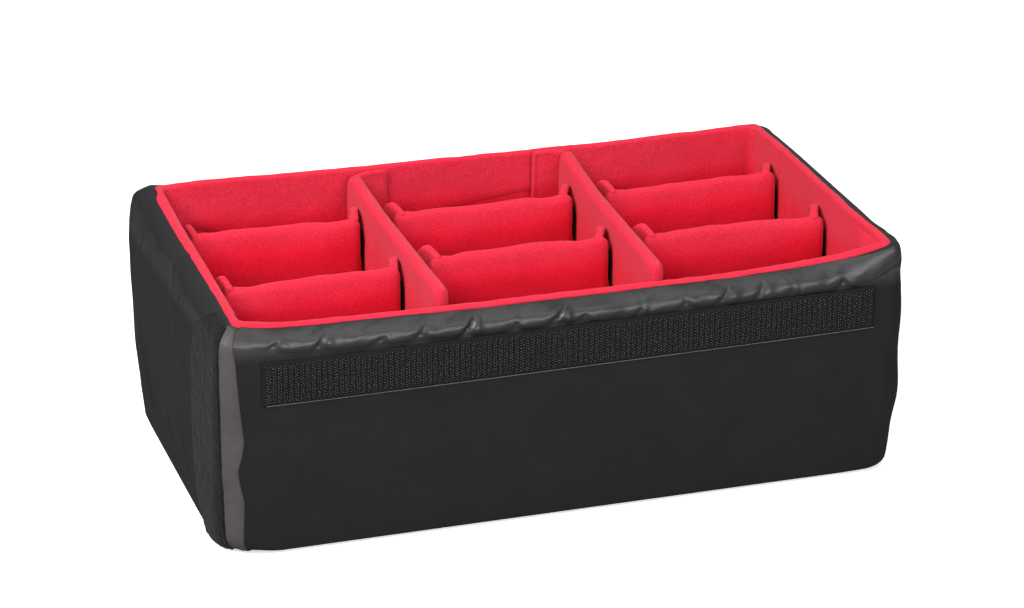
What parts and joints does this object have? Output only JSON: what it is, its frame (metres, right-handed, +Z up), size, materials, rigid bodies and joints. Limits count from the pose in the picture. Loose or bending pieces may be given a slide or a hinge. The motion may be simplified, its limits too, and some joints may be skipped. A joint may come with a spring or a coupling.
{
  "type": "case divider set",
  "caption": "Open padded case insert with a soft liner and a grid of padded dividers, held by fold-out hook tabs, that lift out to change the compartments.",
  "frame": {"origin": "middle of the underside, where the base panel rests", "axes": "+X along the long front, +Y from the front with the hook tape to the back, +Z up out of the open top"},
  "size_m": [0.4914, 0.2577, 0.174],
  "materials": {
    "black_nylon": "tightly woven coated nylon with a soft sheen",
    "grey_nylon": "plain nylon binding, paler where it is stretched round the corner",
    "red_fleece": "brushed loop fleece, matt with a faint nap",
    "red_fabric": "folded fleece with a stitched border",
    "hook_tape": "woven nylon tape with rows of small hooks",
    "loop_tape": "fuzzy loop tape",
    "grey_foam": "closed-cell foam"
  },
  "bodies": {
    "padded_box": {"outer_sleeve": "black_nylon", "outer_base_panel": "black_nylon", "wall_liner": "red_fleece", "base_liner": "red_fleece", "base_foam": "grey_foam", "front_wall_foam": "grey_foam", "right_wall_foam": "grey_foam", "back_wall_foam": "grey_foam", "left_wall_foam": "grey_foam", "front_hook_tape": "hook_tape", "corner_loop_tape": "loop_tape", "corner_binding": "grey_nylon"},
    "left_long_divider": {"left_long_divider_cover": "red_fleece", "left_long_divider_foam": "grey_foam"},
    "left_long_divider_front_tab": {"left_long_divider_front_tab": "red_fabric", "left_long_divider_front_hook_strip": "hook_tape"},
    "left_long_divider_back_tab": {"left_long_divider_back_tab": "red_fabric", "left_long_divider_back_hook_strip": "hook_tape"},
    "right_long_divider": {"right_long_divider_cover": "red_fleece", "right_long_divider_foam": "grey_foam"},
    "right_long_divider_front_tab": {"right_long_divider_front_tab": "red_fabric", "right_long_divider_front_hook_strip": "hook_tape"},
    "right_long_divider_back_tab": {"right_long_divider_back_tab": "red_fabric", "right_long_divider_back_hook_strip": "hook_tape"},
    "back_left_divider": {"back_left_divider_cover": "red_fleece", "back_left_divider_foam": "grey_foam"},
    "back_left_divider_left_tab": {"back_left_divider_left_tab": "red_fabric", "back_left_divider_left_hook_strip": "hook_tape"},
    "back_left_divider_right_tab": {"back_left_divider_right_tab": "red_fabric", "back_left_divider_right_hook_strip": "hook_tape"},
    "back_middle_divider": {"back_middle_divider_cover": "red_fleece", "back_middle_divider_foam": "grey_foam"},
    "back_middle_divider_left_tab": {"back_middle_divider_left_tab": "red_fabric", "back_middle_divider_left_hook_strip": "hook_tape"},
    "back_middle_divider_right_tab": {"back_middle_divider_right_tab": "red_fabric", "back_middle_divider_right_hook_strip": "hook_tape"},
    "back_right_divider": {"back_right_divider_cover": "red_fleece", "back_right_divider_foam": "grey_foam"},
    "back_right_divider_left_tab": {"back_right_divider_left_tab": "red_fabric", "back_right_divider_left_hook_strip": "hook_tape"},
    "back_right_divider_right_tab": {"back_right_divider_right_tab": "red_fabric", "back_right_divider_right_hook_strip": "hook_tape"},
    "front_left_divider": {"front_left_divider_cover": "red_fleece", "front_left_divider_foam": "grey_foam"},
    "front_left_divider_left_tab": {"front_left_divider_left_tab": "red_fabric", "front_left_divider_left_hook_strip": "hook_tape"},
    "front_left_divider_right_tab": {"front_left_divider_right_tab": "red_fabric", "front_left_divider_right_hook_strip": "hook_tape"},
    "front_middle_divider": {"front_middle_divider_cover": "red_fleece", "front_middle_divider_foam": "grey_foam"},
    "front_middle_divider_left_tab": {"front_middle_divider_left_tab": "red_fabric", "front_middle_divider_left_hook_strip": "hook_tape"},
    "front_middle_divider_right_tab": {"front_middle_divider_right_tab": "red_fabric", "front_middle_divider_right_hook_strip": "hook_tape"},
    "front_right_divider": {"front_right_divider_cover": "red_fleece", "front_right_divider_foam": "grey_foam"},
    "front_right_divider_left_tab": {"front_right_divider_left_tab": "red_fabric", "front_right_divider_left_hook_strip": "hook_tape"},
    "front_right_divider_right_tab": {"front_right_divider_right_tab": "red_fabric", "front_right_divider_right_hook_strip": "hook_tape"}
  },
  "joints": [
    {"name": "left_long_divider_lift", "type": "slide", "parent": "padded_box", "child": "left_long_divider", "axis": [0, 0, 1], "range_m": [0, 0.19]},
    {"name": "left_long_divider_front_tab_fold", "type": "hinge", "parent": "left_long_divider", "child": "left_long_divider_front_tab", "pos_m": [-0.07991, -0.1083, 0.0145], "axis": [0, 0, 1], "range_deg": [0, 90]},
    {"name": "left_long_divider_back_tab_fold", "type": "hinge", "parent": "left_long_divider", "child": "left_long_divider_back_tab", "pos_m": [-0.07991, 0.1083, 0.0145], "axis": [0, 0, -1], "range_deg": [0, 90]},
    {"name": "right_long_divider_lift", "type": "slide", "parent": "padded_box", "child": "right_long_divider", "axis": [0, 0, 1], "range_m": [0, 0.19]},
    {"name": "right_long_divider_front_tab_fold", "type": "hinge", "parent": "right_long_divider", "child": "right_long_divider_front_tab", "pos_m": [0.06008, -0.1083, 0.0145], "axis": [0, 0, -1], "range_deg": [0, 92.3]},
    {"name": "right_long_divider_back_tab_fold", "type": "hinge", "parent": "right_long_divider", "child": "right_long_divider_back_tab", "pos_m": [0.06878, 0.1083, 0.0145], "axis": [0, 0, 1], "range_deg": [0, 87.7]},
    {"name": "back_left_divider_lift", "type": "slide", "parent": "padded_box", "child": "back_left_divider", "axis": [0, 0, 1], "range_m": [0, 0.19]},
    {"name": "back_left_divider_left_tab_fold", "type": "hinge", "parent": "back_left_divider", "child": "back_left_divider_left_tab", "pos_m": [-0.2243, 0.06747, 0.0145], "axis": [0, 0, -1], "range_deg": [0, 90]},
    {"name": "back_left_divider_right_tab_fold", "type": "hinge", "parent": "back_left_divider", "child": "back_left_divider_right_tab", "pos_m": [-0.0956, 0.06747, 0.0145], "axis": [0, 0, 1], "range_deg": [0, 90]},
    {"name": "back_middle_divider_lift", "type": "slide", "parent": "padded_box", "child": "back_middle_divider", "axis": [0, 0, 1], "range_m": [0, 0.19]},
    {"name": "back_middle_divider_left_tab_fold", "type": "hinge", "parent": "back_middle_divider", "child": "back_middle_divider_left_tab", "pos_m": [-0.0782, 0.06747, 0.0145], "axis": [0, 0, -1], "range_deg": [0, 90]},
    {"name": "back_middle_divider_right_tab_fold", "type": "hinge", "parent": "back_middle_divider", "child": "back_middle_divider_right_tab", "pos_m": [0.06544, 0.06747, 0.0145], "axis": [0, 0, 1], "range_deg": [0, 92.3]},
    {"name": "back_right_divider_lift", "type": "slide", "parent": "padded_box", "child": "back_right_divider", "axis": [0, 0, 1], "range_m": [0, 0.19]},
    {"name": "back_right_divider_left_tab_fold", "type": "hinge", "parent": "back_right_divider", "child": "back_right_divider_left_tab", "pos_m": [0.08283, 0.06702, 0.0145], "axis": [0, 0, -1], "range_deg": [0, 87.7]},
    {"name": "back_right_divider_right_tab_fold", "type": "hinge", "parent": "back_right_divider", "child": "back_right_divider_right_tab", "pos_m": [0.2243, 0.06702, 0.0145], "axis": [0, 0, 1], "range_deg": [0, 90]},
    {"name": "front_left_divider_lift", "type": "slide", "parent": "padded_box", "child": "front_left_divider", "axis": [0, 0, 1], "range_m": [0, 0.19]},
    {"name": "front_left_divider_left_tab_fold", "type": "hinge", "parent": "front_left_divider", "child": "front_left_divider_left_tab", "pos_m": [-0.2243, -0.03154, 0.0145], "axis": [0, 0, -1], "range_deg": [0, 90]},
    {"name": "front_left_divider_right_tab_fold", "type": "hinge", "parent": "front_left_divider", "child": "front_left_divider_right_tab", "pos_m": [-0.0956, -0.03154, 0.0145], "axis": [0, 0, 1], "range_deg": [0, 90]},
    {"name": "front_middle_divider_lift", "type": "slide", "parent": "padded_box", "child": "front_middle_divider", "axis": [0, 0, 1], "range_m": [0, 0.19]},
    {"name": "front_middle_divider_left_tab_fold", "type": "hinge", "parent": "front_middle_divider", "child": "front_middle_divider_left_tab", "pos_m": [-0.0782, -0.0185, 0.0145], "axis": [0, 0, -1], "range_deg": [0, 90]},
    {"name": "front_middle_divider_right_tab_fold", "type": "hinge", "parent": "front_middle_divider", "child": "front_middle_divider_right_tab", "pos_m": [0.06198, -0.0185, 0.0145], "axis": [0, 0, 1], "range_deg": [0, 92.3]},
    {"name": "front_right_divider_lift", "type": "slide", "parent": "padded_box", "child": "front_right_divider", "axis": [0, 0, 1], "range_m": [0, 0.19]},
    {"name": "front_right_divider_left_tab_fold", "type": "hinge", "parent": "front_right_divider", "child": "front_right_divider_left_tab", "pos_m": [0.07924, -0.02251, 0.0145], "axis": [0, 0, -1], "range_deg": [0, 87.7]},
    {"name": "front_right_divider_right_tab_fold", "type": "hinge", "parent": "front_right_divider", "child": "front_right_divider_right_tab", "pos_m": [0.2243, -0.02251, 0.0145], "axis": [0, 0, 1], "range_deg": [0, 90]}
  ]
}
